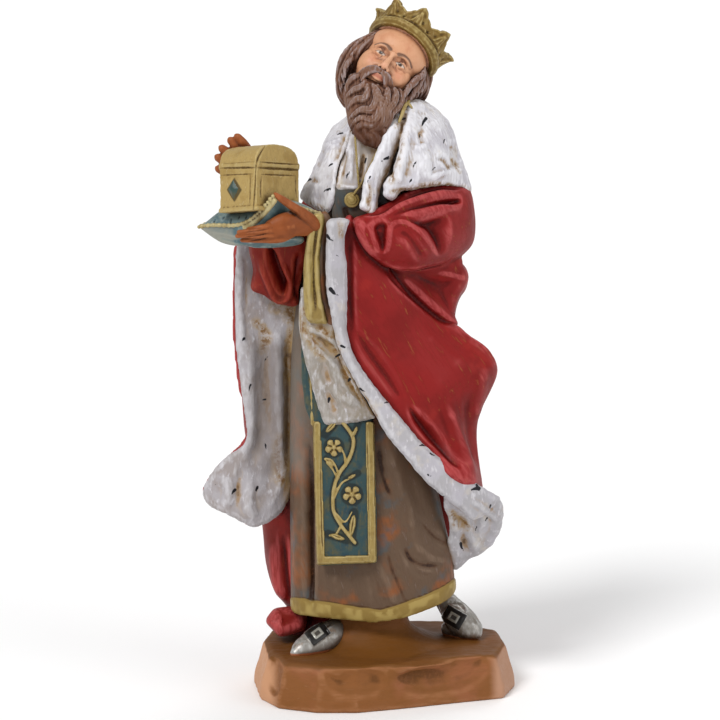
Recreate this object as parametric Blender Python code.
# Nativity wise man: a moulded and painted figurine on its own rock plinth, all one casting.
# Metres, +Z up. The figure faces -Y, and the origin is the centre of the plinth's underside.
import math

import bmesh
import bpy
import numpy as np
from mathutils import Matrix, Vector

# Driving sizes
figureHeight = 0.280        # from the top of the plinth to the crown's highest point
plinthHeight = 0.020
plinthWidth = 0.114
plinthDepth = 0.088
plinthTopShare = 0.93       # how far the plinth's sides lean in
chestWidth = 0.0185         # the face with the gem
chestLength = 0.0260        # the end with the arch
chestWallHeight = 0.0190
chestLidHeight = 0.0090
chestTurn = -40             # degrees
chestRim = 0.0011           # the raised frames and bands on the chest
gemWidth = 0.0072
gemHeight = 0.0098
cushionThickness = 0.0125
crownRadius = 0.0146
crownBand = 0.0042
crownPointHeight = 0.0108
crownValley = 0.60          # how high the crown stands between two leaves, as a share
crownPoints = 8
crownWall = 0.0020
crownFlare = 0.16           # how much it opens upwards
crownSeat = 0.0107          # above the middle of the head
panelBorder = 0.0034        # the gold frame of the embroidered panel
medalRadius = 0.0034
cellSize = 0.0008           # the clay's grain before it is thinned out
facetCount = 9300           # faces left in the finished casting

# The drawing grid. The figure is drawn 653 units tall, x to the right and y down, as an eye sees
# it from a little above. A third number is how far a point stands forward of the figure's middle.
unit = figureHeight / 653
eyeTilt = math.radians(10)
eyeDistance = 3873.0        # in units
drawingMiddle = 360.0
middleAcross = -24.7        # the drawing's middle, seen from the plinth's middle
groundLine = 643.1          # where the plinth's top lies in the drawing, straight under the middle
groundSlope = 0.26          # and how much lower a thing on it is drawn for each unit forward
footSink = 2.5              # how deep what stands on the plinth is set in it


def heightOfMiddle():
    """How high above the plinth's top the drawing's middle lies, from where that top is drawn."""
    down = groundLine - drawingMiddle
    reach = eyeDistance * math.cos(eyeTilt)
    share = reach / (reach - down * math.sin(eyeTilt))
    drop = eyeDistance * math.sin(eyeTilt)
    return share * (drop + down * math.cos(eyeTilt)) - drop


middleUp = heightOfMiddle()


def place(points):
    """World places of drawing points (x, y, forward)."""
    points = np.asarray(points, float)
    across = points[..., 0] - drawingMiddle
    up = drawingMiddle - points[..., 1]
    reach = eyeDistance * math.cos(eyeTilt)
    share = (reach - points[..., 2]) / (reach + up * math.sin(eyeTilt))
    eyeUp = middleUp + eyeDistance * math.sin(eyeTilt)
    height = eyeUp + share * (up * math.cos(eyeTilt) - eyeDistance * math.sin(eyeTilt))
    world = np.stack([middleAcross + share * across, -points[..., 2], height], axis=-1) * unit
    world[..., 2] += plinthHeight
    return world


def drawn(world):
    """Drawing points of world places, the inverse of place."""
    world = np.array(world, float)
    world[..., 2] -= plinthHeight
    x, y, z = np.moveaxis(world / unit, -1, 0)
    y = y + eyeDistance * math.cos(eyeTilt)
    z = z - middleUp - eyeDistance * math.sin(eyeTilt)
    depth = y * math.cos(eyeTilt) - z * math.sin(eyeTilt)
    rise = y * math.sin(eyeTilt) + z * math.cos(eyeTilt)
    forward = -world[..., 1] / unit
    return np.stack([drawingMiddle + eyeDistance * (x - middleAcross) / depth,
                     drawingMiddle - eyeDistance * rise / depth, forward], axis=-1)


def smooth(points, steps=6, closed=False):
    """Points read from a smooth curve through the given ones."""
    points = np.asarray(points, float)
    if closed:
        padded = np.concatenate([points[-1:], points, points[:2]])
    else:
        padded = np.concatenate([2 * points[:1] - points[1:2], points, 2 * points[-1:] - points[-2:-1]])
    found = []
    for a, b, c, d in zip(padded, padded[1:], padded[2:], padded[3:]):
        for t in np.arange(steps) / steps:
            found.append(0.5 * (2 * b + (c - a) * t + (2 * a - 5 * b + 4 * c - d) * t ** 2
                                + (3 * b - a - 3 * c + d) * t ** 3))
    if not closed:
        found.append(points[-1])
    return np.array(found)


def meshOf(grid):
    """The finished mesh of a bmesh, with its faces pointing out."""
    bmesh.ops.recalc_face_normals(grid, faces=grid.faces)
    made = bpy.data.meshes.new("clay")
    grid.to_mesh(made)
    grid.free()
    return made


def skin(rings):
    """A closed skin over rings of points: a sheet rolled up, its seam welded and its ends capped."""
    rings = np.asarray(rings, float)
    rows, around = rings.shape[:2]
    rolled = np.concatenate([rings, rings[:, :1]], axis=1).reshape(-1, 3)
    grid = bmesh.new()
    bmesh.ops.create_grid(grid, x_segments=around, y_segments=rows - 1, size=0.5)
    for vert, spot in zip(grid.verts, rolled):
        vert.co = spot
    bmesh.ops.remove_doubles(grid, verts=grid.verts, dist=1e-6)
    bmesh.ops.holes_fill(grid, edges=grid.edges, sides=0)
    return meshOf(grid)


def loft(rows, around=40, steps=4, square=2.3):
    """A solid through level slices, each (y, left, right, front, back) in drawing units."""
    rows = smooth(rows, steps)
    angle = np.arange(around) * 2 * math.pi / around
    round_x = np.sign(np.cos(angle)) * np.abs(np.cos(angle)) ** (2 / square)
    round_f = np.sign(np.sin(angle)) * np.abs(np.sin(angle)) ** (2 / square)
    rings = []
    for y, left, right, front, back in rows:
        middle = place([[left, y, (front + back) / 2], [right, y, (front + back) / 2]])
        centre, half = middle.mean(0), (middle[1] - middle[0]) / 2
        ring = centre + round_x[:, None] * half
        ring[:, 1] -= round_f * (front - back) / 2 * unit
        rings.append(ring)
    return skin(rings)


def tube(points, radii, around=10, steps=4, flat=1.0):
    """A round limb along drawing points, as thick as the radii say, in units."""
    line = smooth(np.column_stack([np.asarray(points, float), radii]), steps)
    return rod(place(line[:, :3]), line[:, 3] * unit, around, flat)


def rod(centres, radius, around=10, flat=1.0):
    """A limb along world points. Its ends are rounded off by three smaller rings."""
    centres, radius = np.asarray(centres, float), np.asarray(radius, float)
    along = np.gradient(centres, axis=0)
    along /= np.linalg.norm(along, axis=1)[:, None]
    caps = [(0.0, 0.02), (0.35, 0.55), (0.7, 0.85)]
    first = [(centres[0] - along[0] * radius[0] * (0.9 - out), radius[0] * size) for out, size in caps]
    last = [(centres[-1] + along[-1] * radius[-1] * (0.9 - out), radius[-1] * size)
            for out, size in reversed(caps)]
    centres = np.array([c for c, _ in first] + list(centres) + [c for c, _ in last])
    radius = np.array([r for _, r in first] + list(radius) + [r for _, r in last])
    along = np.concatenate([along[:1]] * 3 + [along] + [along[-1:]] * 3)
    side = np.cross(along, [0.0, 1.0, 0.02])
    side /= np.linalg.norm(side, axis=1)[:, None]
    front = np.cross(side, along)
    angle = np.arange(around)[None, :, None] * 2 * math.pi / around
    ring = np.cos(angle) * side[:, None] + flat * np.sin(angle) * front[:, None]
    return skin(centres[:, None] + ring * radius[:, None, None])


def inside(points, edge):
    """Which points lie inside a closed outline."""
    x, y = points[:, :1], points[:, 1:2]
    x1, y1 = edge[:, 0], edge[:, 1]
    x2, y2 = np.roll(x1, -1), np.roll(y1, -1)
    crosses = (y1 > y) != (y2 > y)
    at = (x2 - x1) * (y - y1) / np.where(y2 == y1, 1e-9, y2 - y1) + x1
    return (crosses & (x < at)).sum(1) % 2 == 1


def nearest(points, line, closed=False):
    """Distance to a line of drawing points, the nearest spot on it and how far along that is."""
    start = line if closed else line[:-1]
    end = np.roll(line, -1, axis=0) if closed else line[1:]
    run = end - start
    length = np.maximum((run ** 2).sum(1), 1e-9)
    best = np.full(len(points), 1e9)
    spot, along = np.zeros((len(points), 2)), np.zeros(len(points))
    for i in range(len(start)):
        t = np.clip(((points - start[i]) @ run[i]) / length[i], 0, 1)
        near = start[i] + t[:, None] * run[i]
        gap = np.linalg.norm(points - near, axis=1)
        closer = gap < best
        best[closer], spot[closer], along[closer] = gap[closer], near[closer], (i + t[closer]) / len(start)
    return best, spot, along


def depthThrough(points):
    """A smooth depth over the drawing, through the given (x, y, forward) points."""
    points = np.asarray(points, float)
    if len(points) < 4:
        flat = np.linalg.lstsq(np.column_stack([points[:, :2], np.ones(len(points))]), points[:, 2],
                               rcond=None)[0]
        return lambda x, y: flat[0] * x + flat[1] * y + flat[2]

    def spline(r):
        return r ** 2 * np.log(r + 1e-6)

    gap = np.linalg.norm(points[:, None, :2] - points[None, :, :2], axis=2) / 100
    edge = np.column_stack([np.ones(len(points)), points[:, :2] / 100])
    system = np.block([[spline(gap) + 1e-3 * np.eye(len(points)), edge], [edge.T, np.zeros((3, 3))]])
    weight = np.linalg.solve(system, np.concatenate([points[:, 2], np.zeros(3)]))

    def depth(x, y):
        gaps = np.hypot(x[:, None] - points[:, 0], y[:, None] - points[:, 1]) / 100
        return spline(gaps) @ weight[:-3] + weight[-3] + weight[-2] * x / 100 + weight[-1] * y / 100
    return depth


def pillow(outline, depths, front=6.0, back=6.0, roundness=8.0, spacing=3.0, steps=5):
    """A soft slab with this outline, swelling to front and back of a depth surface."""
    edge = smooth(outline, steps, closed=True)
    low, high = edge.min(0) - spacing, edge.max(0) + spacing
    count = np.maximum(((high - low) / spacing).astype(int), 4)
    grid = bmesh.new()
    bmesh.ops.create_grid(grid, x_segments=int(count[0]), y_segments=int(count[1]), size=0.5)
    spots = np.array([v.co for v in grid.verts])[:, :2] + 0.5
    spots = low + spots * (high - low)
    kept = inside(spots, edge)
    for vert, spot in zip(grid.verts, spots):
        vert.co = (*spot, 0)
    bmesh.ops.delete(grid, geom=[v for v, keep in zip(list(grid.verts), kept) if not keep], context="VERTS")
    rim = [v for v in grid.verts if v.is_boundary]
    for vert, spot in zip(rim, nearest(np.array([v.co[:2] for v in rim]), edge, closed=True)[1]):
        vert.co = (*spot, 0)
    lifted = bmesh.ops.extrude_face_region(grid, geom=list(grid.faces))["geom"]
    frontVerts = {v for v in lifted if isinstance(v, bmesh.types.BMVert)}
    flat = np.array([v.co for v in grid.verts])
    gap = nearest(flat[:, :2], edge, closed=True)[0]
    swell = np.sqrt(np.maximum(1 - (1 - np.minimum(gap / roundness, 1)) ** 2, 0.0)) * 0.94 + 0.06
    side = np.array([front if v in frontVerts else -back for v in grid.verts])
    flat[:, 2] = depthThrough(depths)(flat[:, 0], flat[:, 1]) + swell * side
    for vert, spot in zip(grid.verts, place(flat)):
        vert.co = spot
    return meshOf(grid)


def strip(line, widths, depths, front=4.0, back=4.0, roundness=5.0, spacing=2.5):
    """A band along a line of drawing points, as a soft slab."""
    line = smooth(np.column_stack([line, widths]), 5)
    along = np.gradient(line[:, :2], axis=0)
    along /= np.linalg.norm(along, axis=1)[:, None]
    side = np.column_stack([along[:, 1], -along[:, 0]]) * line[:, 2:] / 2
    edge = np.concatenate([line[:, :2] + side, (line[:, :2] - side)[::-1]])
    return pillow(edge[::3], depths, front, back, roundness, spacing, steps=2)


def block(size, centre, turn=Matrix.Identity(4), bevel=0.0):
    """A block of this size, turned and then moved."""
    grid = bmesh.new()
    bmesh.ops.create_cube(grid, size=1, matrix=Matrix.Diagonal((*size, 1)))
    if bevel:
        bmesh.ops.bevel(grid, geom=list(grid.edges), offset=bevel, segments=2, profile=0.5, affect="EDGES")
    bmesh.ops.transform(grid, matrix=Matrix.Translation(centre) @ turn, verts=grid.verts)
    return meshOf(grid)


def ball(centre, radii, turn=Matrix.Identity(4)):
    """An egg shape about a world point."""
    grid = bmesh.new()
    bmesh.ops.create_icosphere(grid, subdivisions=3, radius=1, matrix=Matrix.Diagonal((*radii, 1)))
    bmesh.ops.transform(grid, matrix=Matrix.Translation(centre) @ turn, verts=grid.verts)
    return meshOf(grid)


# The plinth: a rock with hand-cut facets, its corners given as shares of its half width and half depth
plinthCorners = [(-1, 0.185), (-0.94, -0.45), (-0.80, -0.80), (-0.50, -0.975), (-0.22, -0.975),
                 (0.02, -0.87), (0.28, -0.74), (0.54, -0.60), (0.90, -0.42), (1, 0.03), (0.94, 0.60),
                 (0.60, 0.93), (0, 1), (-0.60, 0.93), (-0.94, 0.63)]


def plinth():
    corners = np.array(plinthCorners) * [plinthWidth / 2, plinthDepth / 2]
    steps = [(0, 1, 1), (0.25 * plinthHeight, 1, 1), (0.93 * plinthHeight, plinthTopShare, 0.98),
             (plinthHeight, plinthTopShare - 0.03, 0.95)]
    return skin([np.column_stack([corners * [wide, deep], np.full(len(corners), height)])
                 for height, wide, deep in steps])


def stood(x, forward, height):
    """The drawing point of a place this high above the plinth's top."""
    return (x, groundLine + footSink + groundSlope * forward - 0.985 * height, forward)


# The rock that rises between the feet and carries the robe
def mound():
    ground = groundLine + footSink
    return [loft([(600, 338, 402, 20, -50), (616, 330, 407, 28, -56), (626, 328, 413, 36, -62),
                  (ground - 12, 326, 426, 46, -68), (ground - 2, 316, 448, 62, -76),
                  (ground + 8, 300, 466, 74, -84)], around=20, square=2.1)]


# Robe: how much lower its hem hangs, from left to right
hemDrop = [(286, 3), (316, 0), (342, 1), (373, 4), (390, 3), (411, -2), (431, -8), (446, -13), (458, -17)]


def robe():
    body = loft([(205, 322, 378, 34, -44), (250, 306, 392, 46, -42), (330, 293, 404, 50, -42),
                 (420, 290, 424, 52, -44), (500, 290, 440, 54, -48), (560, 290.5, 452, 52, -50),
                 (598, 291, 455, 49, -52), (607, 292, 453, 47, -52)], around=48, steps=5)
    verts = np.array([v.co for v in body.vertices])
    seen = drawn(verts)
    low = np.clip((seen[:, 1] - 520) / 85, 0, 1) ** 2
    across, drop = np.array(hemDrop, float).T
    verts[:, 2] -= low * np.interp(seen[:, 0], across, drop) * unit
    body.vertices.foreach_set("co", verts.ravel())
    return [body]


# The embroidered panel that hangs down the front of the robe
panelEdge = [(312, 424), (374, 421), (375.5, 480), (377.5, 563), (320, 566), (316, 562), (314.5, 500)]
panelDepth = [(313, 420, 58), (374, 420, 60), (344, 420, 66), (318, 563, 59), (376, 563, 58),
              (347, 563, 68)]


def panel():
    upper = pillow([(303, 330), (340, 330), (374, 424), (312, 426)], panelDepth, 2.5, 10, 3, steps=4)
    edge = []
    for a, b in zip(panelEdge, panelEdge[1:] + panelEdge[:1]):
        edge += [tuple(np.array(a) + (np.array(b) - a) * t) for t in (0.02, 0.35, 0.65, 0.98)]
    rim = panelBorder / unit
    left, right, top, foot = 312 + rim / 2, 377 - rim / 2, 420 + rim / 2, 565 - rim / 2
    corners = [(left + 1, top, 61), (right - 2, top, 62), (right, foot, 61), (left + 5, foot, 62)]
    frame = [tube([a, np.mean([a, b], axis=0), b], [rim / 2] * 3, 8, flat=0.8)
             for a, b in zip(corners, corners[1:] + corners[:1])]
    return [pillow(edge, panelDepth, 3.4, 12, 2.5, spacing=2.5, steps=1), upper, *frame]


# The cloak: its back and sides, its front with the folds over the arm, and its lining
def cloakBack():
    return [loft([(104, 372, 424, 20, -40), (116, 354, 440, 24, -54), (140, 336, 455, 28, -64),
                  (180, 318, 465, 24, -70), (225, 300, 470, 18, -73), (257, 280, 458, 14, -75),
                  (276, 268, 468, 12, -77), (298, 258, 459, 10, -79), (326, 246, 455, 6, -81),
                  (350, 240, 462, 4, -84), (400, 242, 470, 2, -88), (440, 246, 470, -2, -92),
                  (490, 258, 474, -6, -96), (530, 263, 462, -10, -97), (562, 266, 450, -14, -96),
                  (588, 274, 436, -16, -95), (604, 286, 414, -20, -94), (618, 294, 404, -24, -93)],
                 around=56, steps=3, square=2.5),
            loft([(600, 292, 404, -24, -93), (groundLine - 20, 286, 406, -22, -93),
                  (groundLine - 2, 282, 410, -20, -93)], around=24)]


def cloakTrain():
    return [pillow([(264, 621), (270, 612), (284, 606), (300, 606), (312, 616), (310, 628), (300, 633),
                    (288, 634), (276, 637), (268, 631)], [(264, 620, -4), (290, 635, 2), (305, 610, -20)],
                    12, 30, 12)]


armDepth = [(352, 222, 76), (385, 215, 66), (385, 262, 62), (420, 195, 44), (420, 262, 46), (470, 200, 4),
            (474, 232, 4), (457, 259, 4), (430, 230, 50)]


def armFolds():
    bundle = pillow([(353, 219), (366, 214), (383, 205), (410, 190), (440, 184), (464, 186), (471, 192),
                     (474.5, 210), (475.4, 228), (472, 245), (457, 259), (436, 265), (411, 270), (387, 267),
                     (374, 257), (362, 243), (355, 230)], armDepth, 24, 40, 34)
    return [bundle]


frontDepth = [(348, 225, 62), (347, 300, 60), (354, 350, 60), (380, 392, 58), (427, 443, 52),
              (479, 484, 34), (400, 290, 44), (454, 326, 6), (497, 372, 4), (477, 427, 8), (440, 380, 40),
              (481, 485, 18)]


def cloakFront():
    side = pillow([(346, 216), (358, 222), (384, 262), (411, 296), (436, 318), (454, 326), (467, 337),
                   (479, 345), (488, 352), (496, 363), (497, 374), (490, 392), (481, 410), (477, 428),
                   (477.5, 448), (480, 468), (483, 489), (478, 497), (455, 482), (427, 463), (400, 436),
                   (372, 402), (350, 370), (340, 340), (336, 300), (337, 250)], frontDepth, 14, 60, 26)
    behind = pillow([(400, 240), (457, 255), (463, 266), (469, 276), (465, 287), (459, 297), (455, 312),
                     (454, 328), (430, 330), (390, 280)],
                    [(400, 250, 30), (469, 276, -4), (454, 326, -2), (400, 300, 30)], 10, 50, 20)
    return [side, behind]


liningDepth = [(235, 250, 16), (235, 330, 14), (247, 437, 8), (203, 490, 4), (251, 527, 10), (289, 500, -8),
               (292, 320, -10), (262, 400, -4), (262, 300, -2), (270, 470, -6), (232, 490, 14)]
liningEdge = [(238, 244), (235.5, 270), (235, 310), (235, 335), (237.5, 360), (241, 390), (246, 410),
              (247.7, 430), (245, 441), (238, 448), (228, 455), (217, 465), (207, 478), (202, 490),
              (205, 501), (215, 509.5), (231, 517), (242, 523), (252, 527.4), (264, 524.5), (277, 517.5),
              (286, 506), (292, 490), (302, 440), (302, 360), (302, 290), (290, 246), (262, 240)]


def leftLining():
    inner = pillow(liningEdge, liningDepth, 4, 3, 5)
    outer = pillow([(x - (3.0 if x < 246 and y < 450 else 0.0), y) for x, y in liningEdge],
                   [(x, y, f - 6) for x, y, f in liningDepth], 2, 7, 5)
    return [inner, outer]


def redSleeve():
    depth = [(256, 248, 40), (300, 246, 44), (252, 287, 26), (276, 302, 24), (297, 304, 26), (280, 270, 40)]
    return [pillow([(252, 240), (304, 240), (303, 270), (299, 290), (297, 306), (276, 303), (263, 295),
                    (251, 289), (253, 270)], depth, 10, 30, 12),
            tube([(342, 150, -24), (328, 190, -28), (306, 222, -20), (282, 240, -6), (262, 226, 8),
                  (248, 196, 26)], [17, 17, 15, 14, 13, 11], 16)]


trimLine = [(339, 217), (335.5, 240), (335.5, 262), (338, 300), (340.5, 330), (346, 352), (357, 374),
            (373, 400), (394, 429), (420, 455), (445, 478), (470, 497), (492, 512)]
trimWidths = [20, 19, 21, 20, 13, 11, 12, 14, 19, 21, 25, 27, 30]
trimDepth = [(338, 217, 92), (336, 262, 88), (340, 330, 82), (373, 400, 78), (420, 455, 70), (470, 497, 50),
             (495, 512, 34)]
hemTurn = [(448, 488), (478, 488), (496, 496), (504, 508), (503, 524), (499, 535), (488, 549), (472, 559),
           (456, 570), (450, 562), (447.5, 545), (449, 524), (444, 505)]


def cloakTrim():
    turned = pillow(hemTurn, [(450, 560, 6), (450, 505, 48), (503, 512, 24), (490, 548, 4), (470, 530, 20)],
                    5, 14, 8)
    return [strip(trimLine, trimWidths, trimDepth, 6, 14, 7), turned]


def sleeveLining():
    depth = [(300, 300, 66), (302, 345, 66), (345, 330, 72), (318, 405, 64), (372, 416, 66), (340, 424, 68)]
    flap = pillow([(303, 286), (330, 300), (338, 340), (352, 375), (374, 414), (372, 419), (350, 423.5),
                   (327, 425), (320, 412), (314, 395), (308, 372), (302, 348), (299, 325), (300, 300)],
                   depth, 5, 12, 7)
    cuffDepth = [(312, 215, 88), (306, 260, 84), (318, 262, 84), (308, 320, 76), (324, 322, 76)]
    cuff = pillow([(312, 215), (324, 213), (329, 222), (325, 245), (323, 262), (324, 291), (332, 320),
                   (324, 323.5), (307, 320), (303.5, 291), (304, 261), (308, 230)], cuffDepth, 6, 16, 6)
    return [flap, cuff]


# The ermine cape on the shoulders, its lapel and the vest under it
capeRight = [(408, 102), (424, 101), (436, 108), (446, 118), (453, 130), (459.5, 150), (465, 166),
             (470, 180), (471.6, 191), (468, 199), (461, 190), (447, 185), (432, 186), (415, 190),
             (402, 191.5), (394, 198.5), (388, 200), (383, 194), (385, 181), (394, 171), (398, 156),
             (402, 134)]
capeRightDepth = [(404, 120, 46), (392, 190, 66), (428, 104, 12), (430, 180, 50), (470, 190, 0),
                  (448, 122, 0), (425, 140, 44)]
capeLeft = [(352, 108), (346, 116), (333, 126), (326, 137), (319, 156), (309, 176), (302, 189), (301, 198),
            (308, 205), (318, 210), (329, 212.5), (334, 202), (336, 182), (340, 163), (346, 148),
            (352, 130), (362, 112)]
capeLeftDepth = [(352, 112, 24), (334, 128, 8), (303, 192, 20), (330, 208, 50), (344, 150, 46)]
lapelLine = [(408, 106), (398, 124), (389, 145), (381, 163), (373, 182), (370, 200), (368, 217)]
lapelWidths = [10, 15, 18, 19, 19, 18, 17]
lapelDepth = [(408, 106, 34), (389, 145, 58), (373, 182, 66), (368, 217, 72)]


def cape():
    shoulders = loft([(100, 384, 424, 14, -36), (110, 362, 436, 18, -50), (130, 338, 452, 24, -62),
                      (150, 326, 459, 26, -70), (172, 316, 466, 24, -76), (190, 312, 470, 20, -80),
                      (197, 314, 468, 18, -80)], around=40)
    right = pillow(capeRight, capeRightDepth, 9, 40, 14)
    left = pillow(capeLeft, capeLeftDepth, 9, 30, 14)
    return [shoulders, right, left, strip(lapelLine, lapelWidths, lapelDepth, 6, 18, 8)]


def vest():
    return [pillow([(352, 130), (380, 130), (380, 160), (368, 186), (362, 220), (345, 222), (336, 212),
                    (334, 190), (340, 165)], [(350, 140, 40), (378, 150, 44), (348, 190, 50),
                                              (352, 220, 52)], 5, 30, 8),
            rod([place([352, 200, 50])[()], place([352, 201, 60])[()]], [medalRadius, medalRadius], 16)]


# Neck, head and face, in the head's own frame: x right, -y to the face, z up, in drawing units
headMiddle = (387.8, 67.6, 12.0)
# Degrees: leaning over its left shoulder, looking up, turned to its right
headRoll, headPitch, headTurn = 42.6, 38.6, 24
headWide, headDeep, headTall = 29.0, 31.0, 38.0
headFrame = (Matrix.Rotation(math.radians(headRoll), 4, "Y")
             @ Matrix.Rotation(math.radians(-headPitch), 4, "X")
             @ Matrix.Rotation(math.radians(-headTurn), 4, "Z"))


def onHead(points):
    """World places of points in the head's frame."""
    points = np.asarray(points, float)
    turn = np.array(headFrame.to_3x3())
    return place(headMiddle) + points @ turn.T * unit


def headTube(points, radii, around=10, steps=4, flat=1.0):
    line = smooth(np.column_stack([np.asarray(points, float), radii]), steps)
    return rod(onHead(line[:, :3]), line[:, 3] * unit, around, flat)


def head():
    skull = ball(onHead([0, 2, 10]), np.array([headWide, headDeep, headTall * 0.84]) * unit, headFrame)
    jaw = ball(onHead([0, -5, -14]), np.array([headWide * 0.8, headDeep * 0.72, headTall * 0.6]) * unit,
               headFrame)
    crownBed = ball(onHead([0, 0, crownSeat / unit]), np.array([crownRadius, crownRadius, crownBand * 1.5]),
                    headFrame)
    neck = rod(place([[388, 92, -4], [386, 128, -12]]), np.array([20, 25]) * unit, 16)
    nose = headTube([(0, -28.5, 4), (0, -31, -3), (0, -36, -10), (0, -32, -12.5)], [2.8, 3.2, 4.4, 3.8])
    brow = headTube([(-18, -22, 5), (-9, -28, 7), (0, -28.5, 5), (9, -28, 7), (18, -22, 5)],
                    [2.0, 2.8, 2.4, 2.8, 2.0])
    cheeks = [ball(onHead([x, -21, -9]), np.array([9, 7, 8]) * unit, headFrame) for x in (-13, 13)]
    ears = [ball(onHead([x, 3, -6]), np.array([2.8, 5, 8]) * unit, headFrame) for x in (-28, 28)]
    return [skull, jaw, crownBed, neck, nose, brow, *cheeks, *ears]


def hair():
    back = ball(onHead([0, 8, 9]), np.array([32, 30, 34]) * unit, headFrame)
    nape = tube([(398, 78, -18), (395, 96, -26), (392, 116, -32)], [29, 29, 25], 20)
    flow = [([(376, 32, 6), (362, 42, 8), (350, 56, 10), (343, 72, 6), (342, 88, 2), (347, 104, 0)],
             [4.5, 7, 8.5, 8.5, 8, 4]),
            ([(376, 38, -4), (364, 52, -6), (356, 70, -8), (352, 88, -8), (354, 106, -8)],
             [8, 10, 10, 9, 5]),
            ([(426, 70, 10), (425, 84, 10), (421, 98, 8)], [5, 6.5, 5]),
            ([(430, 62, -8), (430, 80, -10), (424, 98, -12)], [7, 9, 7])]
    return [back, nape] + [tube(line, radii, 12) for line, radii in flow]


beardEdge = [(349, 76), (344.5, 88), (344, 99), (346, 112), (349, 126), (356, 138), (364, 144), (373, 148),
             (380, 146), (387, 134), (396, 120), (404, 107), (408, 98), (404, 84), (399, 72), (388, 66),
             (372, 68), (358, 70)]
beardDepth = [(350, 80, 30), (385, 68, 44), (404, 90, 34), (350, 115, 44), (385, 110, 56), (374, 146, 58),
              (396, 118, 46)]


def beard():
    locks = [pillow(beardEdge, beardDepth, 10, 22, 14)]
    rows = 5
    for i in range(rows):
        share = i / (rows - 1)
        top = np.array([354 + 44 * share, 80 - 8 * math.sin(share * math.pi), 0])
        low = np.array([360 + 28 * share, 138 + 6 * math.sin(share * math.pi), 0])
        sway = 5 * math.sin(i * 2.4 + 1)
        line = [top, top * 0.66 + low * 0.34 + [sway, 0, 0], top * 0.33 + low * 0.67 - [sway, 0, 0], low]
        depth = depthThrough(beardDepth)
        for spot, out in zip(line, (5, 10, 9, 2)):
            spot[2] = depth(spot[:1], spot[1:2])[0] + out
        locks.append(tube(line, [4, 6, 5.5, 3], 10))
    for side in (-1, 1):
        locks.append(headTube([(side * 1.5, -33, -14), (side * 8, -31, -17), (side * 15, -26, -25)],
                              [3.2, 4.2, 3]))
    return locks


def crown():
    around = crownPoints * 8
    lowest = crownSeat
    angle = np.arange(around + 1) * 2 * math.pi / around
    phase = (angle * crownPoints / (2 * math.pi) + 0.5) % 1 - 0.5       # 0 in the middle of a leaf
    leaf = 0.72 * (0.5 + 0.5 * np.cos(angle * crownPoints)) ** 0.6 + 0.28 * np.exp(-(phase / 0.17) ** 4)
    tips = crownBand + crownPointHeight * (crownValley + (1 - crownValley) * leaf)
    rings = []
    for wall, high in ((0, 0), (0.5, 0), (1.4, 0), (1.4, 0.28), (1, 0.3), (1, 0.6), (1, 0.97), (0.5, 1),
                       (0, 0.97), (0, 0.5)):
        height = np.where(high < 0.31, high / 0.3 * crownBand,
                          crownBand + (high - 0.3) / 0.7 * (tips - crownBand))
        radius = crownRadius + (wall - 0.5) * crownWall + crownFlare * height
        rings.append(np.column_stack([radius * np.cos(angle), radius * np.sin(angle), lowest + height]))
    rings = np.array(rings + rings[:1])
    grid = bmesh.new()
    bmesh.ops.create_grid(grid, x_segments=around, y_segments=len(rings) - 1, size=0.5)
    for vert, spot in zip(grid.verts, onHead(rings.reshape(-1, 3) / unit)):
        vert.co = spot
    bmesh.ops.remove_doubles(grid, verts=grid.verts, dist=1e-6)
    return [meshOf(grid)]


# The gift: a chest on a cushion, held by both hands
giftMiddle = (260.0, 213.0, 76.0)
lidSquareness = 0.78
giftTilt = Matrix.Rotation(math.radians(-1), 4, "Y") @ Matrix.Rotation(math.radians(-12), 4, "X")
giftTurn = giftTilt @ Matrix.Rotation(math.radians(chestTurn), 4, "Z")


def onGift(x, y, z):
    """World place of a point on the chest: x along its front, -y out of it, z up from its floor."""
    return Vector(place(giftMiddle)) + giftTurn.to_3x3() @ Vector((x, y, z))


def giftBlock(size, x, y, z, bevel=0.0):
    return block(size, onGift(x, y, z), giftTurn, bevel)


def chest():
    arch = []
    steps = 12
    for i in range(steps + 1):
        turn = math.pi * i / steps
        along = math.copysign(abs(math.cos(turn)) ** lidSquareness, -math.cos(turn))
        arch.append((along * chestLength / 2,
                     chestWallHeight + math.sin(turn) ** lidSquareness * chestLidHeight))
    outline = [(chestLength / 2, 0), (-chestLength / 2, 0)] + arch
    grid = bmesh.new()
    face = grid.faces.new([grid.verts.new((-chestWidth / 2, y, z)) for y, z in outline])
    moved = bmesh.ops.extrude_face_region(grid, geom=[face])["geom"]
    moved = [item for item in moved if isinstance(item, bmesh.types.BMVert)]
    bmesh.ops.translate(grid, vec=(chestWidth, 0, 0), verts=moved)
    for vert in grid.verts:
        vert.co = onGift(*vert.co)
    bmesh.ops.holes_fill(grid, edges=grid.edges, sides=0)
    rims = []
    for z, high in ((chestWallHeight, chestRim * 1.6), (chestRim, chestRim * 2)):
        rims.append(giftBlock((chestWidth + 2 * chestRim, chestLength + 2 * chestRim, high), 0, 0, z))
    for x in (-1, 1):
        for y in (-1, 1):
            rims.append(giftBlock((chestRim * 3, chestRim * 3, chestWallHeight),
                                  x * (chestWidth / 2 - chestRim), y * (chestLength / 2 - chestRim),
                                  chestWallHeight / 2))
    gem = bmesh.new()
    bmesh.ops.create_cone(gem, cap_ends=True, segments=4, radius1=1, radius2=0.25, depth=1)
    for vert in gem.verts:
        x, y, z = vert.co
        vert.co = onGift(x * gemWidth / 2, -chestLength / 2 - (z + 0.5) * chestRim * 1.5,
                         chestWallHeight * 0.55 + y * gemHeight / 2)
    return [meshOf(grid), *rims, meshOf(gem)]


cushionCorners = [(199, 227, 66), (273, 196, 112), (322, 214, 58), (240, 206, 8)]   # left, near, right, far
cushionSag = 13.8           # how far its near edge hangs between its corners, in drawing units


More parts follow.
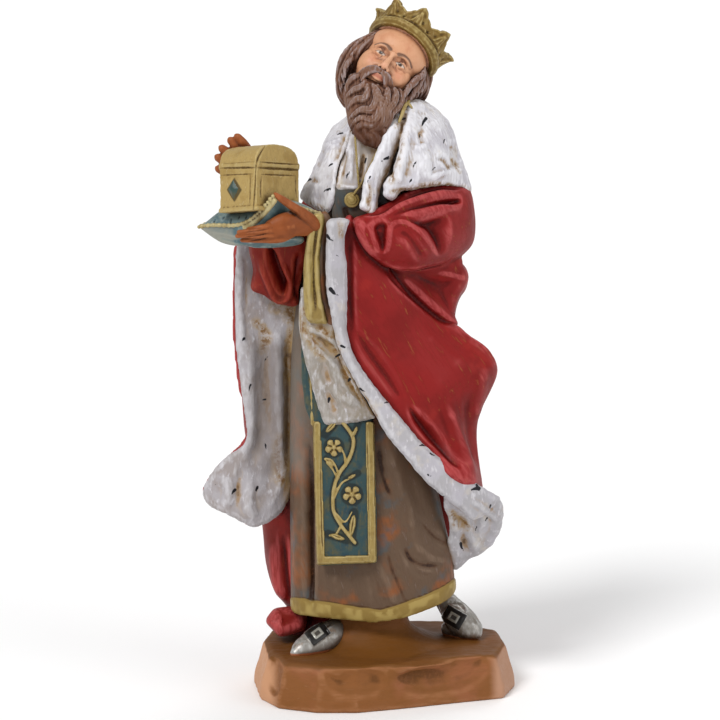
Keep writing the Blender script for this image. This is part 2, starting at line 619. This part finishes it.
def cushion():
    """A square pillow whose seam runs through four corners, pressed down under the chest."""
    corners = place(cushionCorners)
    count = 22
    grid = bmesh.new()
    bmesh.ops.create_grid(grid, x_segments=count, y_segments=count, size=1)
    lifted = bmesh.ops.extrude_face_region(grid, geom=list(grid.faces))["geom"]
    top = {v for v in lifted if isinstance(v, bmesh.types.BMVert)}
    for vert in grid.verts:
        u, v = vert.co.x, vert.co.y
        share = np.array([(1 - u) * (1 - v), (1 + u) * (1 - v), (1 + u) * (1 + v), (1 - u) * (1 + v)]) / 4
        spot = Vector(share @ corners)
        waist = 1 - 0.10 * ((1 - u * u) * abs(v) ** 3 + (1 - v * v) * abs(u) ** 3)
        spot = Vector(corners.mean(0)) + (spot - Vector(corners.mean(0))) * waist
        swell = max((1 - u ** 4) * (1 - v ** 4), 0)
        sag = cushionSag * unit * math.sin(math.pi * ((u + 1) / 2) ** 1.35) * (1 - v) / 2
        spot.z += cushionThickness * (0.1 * swell if vert in top else -0.04 - 0.8 * swell ** 0.6) - sag
        vert.co = spot
    return [meshOf(grid)]


def nearHand():
    palm = tube([(318, 226, 82), (306, 224, 90), (293, 224, 98), (280, 227, 102)], [9, 10.5, 12.5, 10], 14,
                flat=0.7)
    thumb = tube([(308, 216, 98), (296, 208, 106), (284, 200, 110), (274.5, 193.5, 110)], [7, 5, 4, 3.2],
                 10)
    fingers = []
    for low, tip, out in ((219, (251, 224.5), 108), (224, (240, 228.5), 108), (229.5, (237, 233.5), 105),
                          (234, (244, 238.5), 100)):
        fingers.append(tube([(284, low, 102), (266, (low + tip[1]) / 2, out), (*tip, out - 5)],
                            [4.6, 4.0, 3.2], 10))
    return [palm, thumb, *fingers]


def farHand():
    palm = tube([(250, 186, 34), (240, 166, 36), (238, 152, 40)], [12, 14, 12], 14, flat=0.7)
    fingers = []
    for knuckle, tip in (((246, 148), (237, 137)), ((240, 152), (230.5, 140.5)), ((234, 158), (222, 148.5)),
                         ((230, 166), (218, 157.5)), ((230, 174), (218, 168))):
        fingers.append(tube([(*knuckle, 38), (*tip, 42)], [5.2, 4.4], 10))
    return [palm, *fingers]


def shoes():
    left = tube([stood(340, 8, 18), stood(328, 20, 14), stood(314, 32, 10), stood(302, 42, 7),
                 stood(295, 48, 4)], [13, 15, 14, 10.5, 6], 14)
    leftLeg = tube([stood(346, -8, 40), stood(340, 6, 20)], [12, 12], 12)
    right = tube([stood(446, -40, 38), stood(455, -32, 25), stood(465, -22, 15), stood(474, -14, 10)],
                 [10, 14, 14, 10], 14)
    rightSole = tube([stood(448, -38, 8), stood(464, -24, 4)], [9, 10], 12)
    rightLeg = tube([stood(432, -52, 66), stood(440, -46, 44), stood(450, -38, 24)], [12, 11, 10], 12)
    buckles = [tube([stood(313, 40, 22), stood(322, 34, 27)], [6, 6], 8),
               tube([stood(450, -24, 34), stood(457, -16, 28)], [7, 7], 8)]
    return [left, leftLeg, right, rightSole, rightLeg, *buckles]


# Folds and creases worked into the clay as the eye sees it: (points, width, height) in drawing units,
# raised where the height is positive
armStrokes = [([(376, 218), (394, 206), (411, 198), (436, 191), (462, 191)], 9, 4.5),
              ([(408, 210), (420, 207), (436, 202), (462, 202)], 6, -8),
              ([(380, 222), (396, 214), (411, 210), (436, 206), (464, 208)], 8, 3.5),
              ([(400, 219), (414, 223), (427, 231), (436, 243), (440, 255)], 9, -8),
              ([(389, 229), (400, 223), (416, 229), (426, 238), (433, 251)], 8, 4.5),
              ([(387, 229), (382, 238), (384, 250)], 12, -10),
              ([(360, 220), (372, 229), (374, 241), (381, 254), (392, 262)], 8, 4),
              ([(446, 214), (455, 226), (456, 242), (450, 254)], 8, -4),
              ([(384, 262), (410, 268), (434, 266), (455, 261)], 7, 4)]
frontStrokes = [([(434, 274), (452, 276), (468, 279)], 8, -7),
                ([(428, 290), (446, 296), (458, 306)], 9, -5),
                ([(352, 226), (366, 248), (385, 271), (411, 302), (436, 323), (456, 332), (480, 347),
                  (495, 371)], 11, 5),
                ([(358, 256), (380, 286), (404, 314), (432, 340), (462, 362)], 14, -4),
                ([(362, 300), (386, 330), (420, 362), (452, 384)], 16, 3),
                ([(392, 372), (410, 404), (430, 430), (452, 452)], 13, -6),
                ([(440, 380), (449, 405), (459, 439), (468, 476)], 13, 5),
                ([(470, 392), (468, 430), (474, 470)], 11, -4)]
robeStrokes = [([(308, 432), (309, 500), (309, 560), (310, 604)], 8, -9),
               ([(299, 440), (298, 520), (298, 590)], 8, 3),
               ([(382, 430), (386, 480), (394, 530), (398, 592)], 11, 4.5),
               ([(376, 470), (384, 530), (386, 606)], 8, -5),
               ([(392, 440), (404, 490), (412, 540), (412, 590)], 9, -5),
               ([(400, 446), (420, 490), (432, 530), (432, 575)], 11, 4.5),
               ([(414, 545), (424, 558), (442, 562)], 8, -4), ([(410, 572), (422, 584), (436, 584)], 8, -4),
               ([(418, 470), (438, 510), (446, 556)], 9, -4), ([(322, 576), (330, 604)], 8, 3),
               ([(352, 572), (360, 612)], 9, 3)]
liningStrokes = [([(262, 320), (266, 380), (262, 440), (240, 490), (232, 515)], 14, -5),
                 ([(276, 320), (278, 400), (282, 470), (266, 515)], 11, 4),
                 ([(288, 330), (290, 400), (288, 470)], 9, -7),
                 ([(248, 330), (250, 400), (252, 450)], 10, 3),
                 ([(220, 472), (230, 492), (226, 510)], 10, 3),
                 ([(250, 452), (248, 500), (256, 522)], 10, 4)]
sleeveStrokes = [([(266, 252), (274, 268), (286, 286), (284, 296)], 9, -9),
                 ([(262, 270), (272, 290), (286, 300)], 8, 3),
                 ([(298, 252), (294, 280), (290, 300)], 7, -4), ([(292, 262), (300, 290)], 7, 3)]
capeStrokes = [([(428, 112), (440, 138), (444, 176)], 12, 3),
               ([(414, 130), (412, 160), (406, 186)], 11, -4),
               ([(452, 140), (458, 170)], 9, -3), ([(336, 130), (324, 166), (316, 198)], 10, 3),
               ([(344, 132), (334, 164)], 6, -3), ([(400, 160), (398, 184)], 8, 3)]
flapStrokes = [([(312, 330), (330, 350), (352, 372)], 9, -5), ([(318, 380), (340, 396), (360, 404)], 9, 3),
               ([(322, 352), (330, 396), (336, 420)], 10, -3), ([(316, 222), (314, 262), (316, 316)], 7, 2)]
trimStrokes = [([(452, 524), (468, 536), (480, 552)], 9, 3), ([(450, 514), (462, 524), (466, 556)], 8, -4),
               ([(484, 508), (480, 530), (470, 552)], 9, 3)]
vestStrokes = [([(346, 150), (342, 180)], 5, -2), ([(352, 146), (350, 184)], 5, 2),
               ([(364, 152), (360, 180)], 5, -2), ([(344, 206), (348, 220)], 6, -2)]
beardStrokes = [([(352, 88), (348, 100), (353, 112), (350, 122)], 4, -3),
                ([(361, 84), (357, 98), (363, 112), (359, 130)], 4, -3.5),
                ([(371, 92), (367, 108), (373, 122), (369, 140)], 4, -3.5),
                ([(381, 92), (378, 106), (384, 118), (378, 138)], 4, -3.5),
                ([(391, 94), (388, 106), (392, 116), (386, 128)], 4, -3),
                ([(399, 96), (396, 106), (394, 116)], 4, -3)]
hairStrokes = [([(372, 42), (358, 52), (350, 66), (347, 84), (350, 98)], 4, -3),
               ([(366, 38), (353, 50), (343, 62), (340, 80), (342, 94)], 3.5, -2.5),
               ([(424, 80), (420, 96)], 3.5, -2.5)]
backStrokes = [([(x0, 215), (x1, 330), (x2, 450), (x3, 600)], width, height)
               for x0, x1, x2, x3, width, height in
               ((392, 392, 380, 372, 26, -8), (366, 350, 336, 330, 22, 6), (344, 318, 304, 300, 18, -6),
                (418, 424, 420, 404, 24, 7), (440, 446, 444, 424, 18, -7), (458, 462, 466, 440, 14, 5))]
capeBackStrokes = [([(x, 118), (x + lean, 190)], 16, height)
                   for x, lean, height in ((366, -16, -4), (388, -4, 3), (410, 8, -4), (432, 18, 3))]


def press(spots, normals, strokes, fromBehind=False):
    """Moves clay out or in along its own face, where the eye sees it or, from behind, where it doesn't."""
    seen = drawn(spots)[:, :2]
    eye = np.array([0.0, -math.cos(eyeTilt), math.sin(eyeTilt)]) * (-1 if fromBehind else 1)
    facing = np.clip((normals @ eye) / 0.35, 0, 1)
    move = np.zeros(len(spots))
    for points, width, height in strokes:
        line = smooth(points, 5)
        near = ((seen > line.min(0) - width) & (seen < line.max(0) + width)).all(1) & (facing > 0)
        if near.any():
            gap, _, along = nearest(seen[near], line)
            ends = np.minimum(1, np.minimum(along, 1 - along) * 6 + 0.15)
            share = np.clip(1 - gap / width, 0, 1)
            move[near] += height * ends * share * share * (3 - 2 * share)
    return spots + normals * (move * facing)[:, None] * unit


def fused(shapes):
    """One closed mesh around all the shapes, in cells of cellSize, without the hollows left inside."""
    grid = bmesh.new()
    for shape in shapes:
        grid.from_mesh(shape)
        bpy.data.meshes.remove(shape)
    whole = meshOf(grid)
    clay = bpy.data.objects.new("clay", whole)
    bpy.context.scene.collection.objects.link(clay)
    remesh = clay.modifiers.new("cells", "REMESH")
    remesh.mode = "VOXEL"
    remesh.voxel_size = cellSize
    bpy.context.view_layer.update()
    found = bpy.data.meshes.new_from_object(clay.evaluated_get(bpy.context.evaluated_depsgraph_get()))
    bpy.data.objects.remove(clay)
    bpy.data.meshes.remove(whole)
    return found


def largest(mesh):
    """Drops every island of a mesh but the largest."""
    grid = bmesh.new()
    grid.from_mesh(mesh)
    left, islands = set(grid.verts), []
    while left:
        island, edge = set(), [left.pop()]
        while edge:
            vert = edge.pop()
            island.add(vert)
            for link in vert.link_edges:
                other = link.other_vert(vert)
                if other in left:
                    left.remove(other)
                    edge.append(other)
        islands.append(island)
    islands.sort(key=len, reverse=True)
    bmesh.ops.delete(grid, geom=[v for island in islands[1:] for v in island], context="VERTS")
    grid.to_mesh(mesh)
    grid.free()
    return mesh


def worked(mesh):
    """The clay after its folds are pressed in and it is smoothed."""
    def faces():
        spots, normals = np.empty(len(mesh.vertices) * 3), np.empty(len(mesh.vertices) * 3)
        mesh.vertices.foreach_get("co", spots)
        mesh.vertex_normals.foreach_get("vector", normals)
        return spots.reshape(-1, 3), normals.reshape(-1, 3)

    front = (armStrokes + frontStrokes + robeStrokes + liningStrokes + sleeveStrokes + capeStrokes
             + flapStrokes + trimStrokes + vestStrokes + beardStrokes + hairStrokes)
    for strokes, fromBehind in ((front, False), (backStrokes + capeBackStrokes, True)):
        spots = press(*faces(), strokes, fromBehind)
        mesh.vertices.foreach_set("co", spots.ravel())
        mesh.update()
    grid = bmesh.new()
    grid.from_mesh(mesh)
    bmesh.ops.smooth_vert(grid, verts=grid.verts, factor=0.5, use_axis_x=True, use_axis_y=True,
                          use_axis_z=True)
    grid.to_mesh(mesh)
    grid.free()
    return mesh


def paint():
    """The casting's own colour under its paint: a warm brown, half gloss."""
    colour = bpy.data.materials.new("painted casting")
    colour.use_nodes = True
    shader = colour.node_tree.nodes["Principled BSDF"]
    shader.inputs["Base Color"].default_value = (0.45, 0.27, 0.17, 1)
    shader.inputs["Roughness"].default_value = 0.5
    shader.inputs["Metallic"].default_value = 0.0
    return colour


for old in list(bpy.data.objects):
    bpy.data.objects.remove(old)
shapes = []
for maker in (mound, robe, panel, cloakBack, cloakTrain, armFolds, cloakFront, leftLining, redSleeve,
              cloakTrim, sleeveLining, cape, vest, head, hair, beard, crown, chest, cushion, nearHand,
              farHand, shoes):
    shapes += maker()

stand = bpy.data.objects.new("plinth guide", plinth())
bpy.context.scene.collection.objects.link(stand)
stand.hide_render = True
stand.display_type = "WIRE"

clay = worked(largest(fused(shapes)))
figurine = bpy.data.objects.new("figurine", clay)
bpy.context.scene.collection.objects.link(figurine)
figurine.data.materials.append(paint())
thin = figurine.modifiers.new("facets", "DECIMATE")
thin.ratio = facetCount / sum(len(face.vertices) - 2 for face in clay.polygons)
join = figurine.modifiers.new("plinth", "BOOLEAN")
join.operation = "UNION"
join.solver = "EXACT"
join.object = stand
